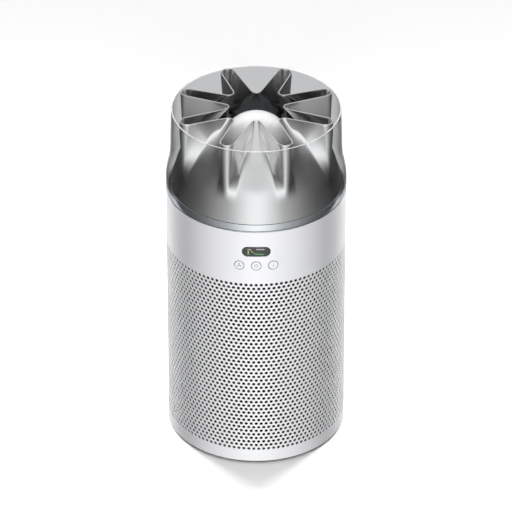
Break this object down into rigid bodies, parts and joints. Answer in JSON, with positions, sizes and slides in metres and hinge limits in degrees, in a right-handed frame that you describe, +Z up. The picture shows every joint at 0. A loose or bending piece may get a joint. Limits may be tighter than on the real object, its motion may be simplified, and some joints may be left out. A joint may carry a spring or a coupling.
{
  "type": "air purifier",
  "caption": "Cylindrical air purifier: perforated white sleeve with display and buttons, and a lift-off head with a lobed metal nozzle, dome and clear shroud.",
  "frame": {"origin": "on the floor, on the axis of the body", "axes": "+Z up along the axis, -Y towards the display and buttons"},
  "size_m": [0.225, 0.225, 0.4575],
  "materials": {
    "white_sleeve": "satin white lacquer over moulded plastic",
    "white_plastic": "satin white moulding",
    "grey_plastic": "fine grain",
    "dark_plastic": "fine grain, dark",
    "black_plastic": "fine grain, black",
    "slate_plastic": "slate blue-grey, satin gloss",
    "foot_rubber": "matt",
    "seal_rubber": "matt",
    "cable_rubber": "matt",
    "steel": "zinc plated",
    "brass_pins": "plated",
    "copper": "enamelled copper wire",
    "lamination": "stacked steel sheets",
    "aluminium": "die cast",
    "bright_nickel": "polished nickel, slightly satin",
    "black_glass": "gloss black",
    "clear_plastic": "clear, light grey tint",
    "circuit_board": "solder mask",
    "filter_paper": "pleated non-woven",
    "carbon_mesh": "open mesh with carbon"
  },
  "bodies": {
    "housing": {"base_plate": "dark_plastic", "foot_pads": "foot_rubber", "base_tray": "dark_plastic", "base_screws": "steel", "outer_sleeve": "white_sleeve", "power_inlet": "black_plastic", "inlet_pins": "brass_pins", "power_cable": "cable_rubber", "dock_socket": "black_plastic", "display_lens": "black_glass", "display_panel": "black_glass", "display_carrier": "black_plastic", "control_board": "circuit_board", "button_switches": "black_plastic", "panel_screws": "steel", "air_sensor": "black_plastic", "sensor_grille": "white_plastic"},
    "filter": {"filter_bottom_cap": "dark_plastic", "filter_core": "white_plastic", "filter_media": "filter_paper", "carbon_sleeve": "carbon_mesh", "filter_top_frame": "dark_plastic", "filter_seal": "seal_rubber"},
    "head": {"shoulder_ring": "slate_plastic", "head_gasket": "seal_rubber", "clear_shroud": "clear_plastic", "lobed_nozzle": "bright_nickel", "nozzle_seal": "seal_rubber", "fan_duct": "dark_plastic", "inlet_ring": "dark_plastic", "diffuser_vanes": "dark_plastic", "motor_pod": "dark_plastic", "motor_bracket": "aluminium", "motor_stator": "lamination", "motor_windings": "copper", "lower_bearing": "steel", "upper_bearing": "steel", "motor_board": "circuit_board", "motor_screws": "steel", "head_screws": "steel", "centre_dome": "white_plastic", "dock_plug": "black_plastic"},
    "fan": {"impeller": "grey_plastic", "impeller_shroud": "grey_plastic", "motor_shaft": "steel", "motor_rotor": "lamination", "impeller_nut": "steel"},
    "fan_button": {"fan_button": "white_plastic"},
    "power_button": {"power_button": "white_plastic"},
    "info_button": {"info_button": "white_plastic"}
  },
  "joints": [
    {"name": "head_lift", "type": "slide", "parent": "housing", "child": "head", "axis": [0, 0, 1], "range_m": [0, 0.16]},
    {"name": "filter_lift", "type": "slide", "parent": "housing", "child": "filter", "axis": [0, 0, 1], "range_m": [0, 0.12]},
    {"name": "fan_spin", "type": "hinge", "parent": "head", "child": "fan", "pos_m": [0, 0, 0.3], "axis": [0, 0, 1], "continuous": true},
    {"name": "fan_press", "type": "slide", "parent": "housing", "child": "fan_button", "axis": [0.1874, 0.9823, 0], "range_m": [0, 0.0006], "stiffness_N_per_m": 400},
    {"name": "power_press", "type": "slide", "parent": "housing", "child": "power_button", "axis": [0, 1, 0], "range_m": [0, 0.0006], "stiffness_N_per_m": 400},
    {"name": "info_press", "type": "slide", "parent": "housing", "child": "info_button", "axis": [-0.1874, 0.9823, 0], "range_m": [0, 0.0006], "stiffness_N_per_m": 400}
  ],
  "couplings": [
    {"joint": "filter_lift", "follows": "head_lift", "ratio": 0.75}
  ]
}
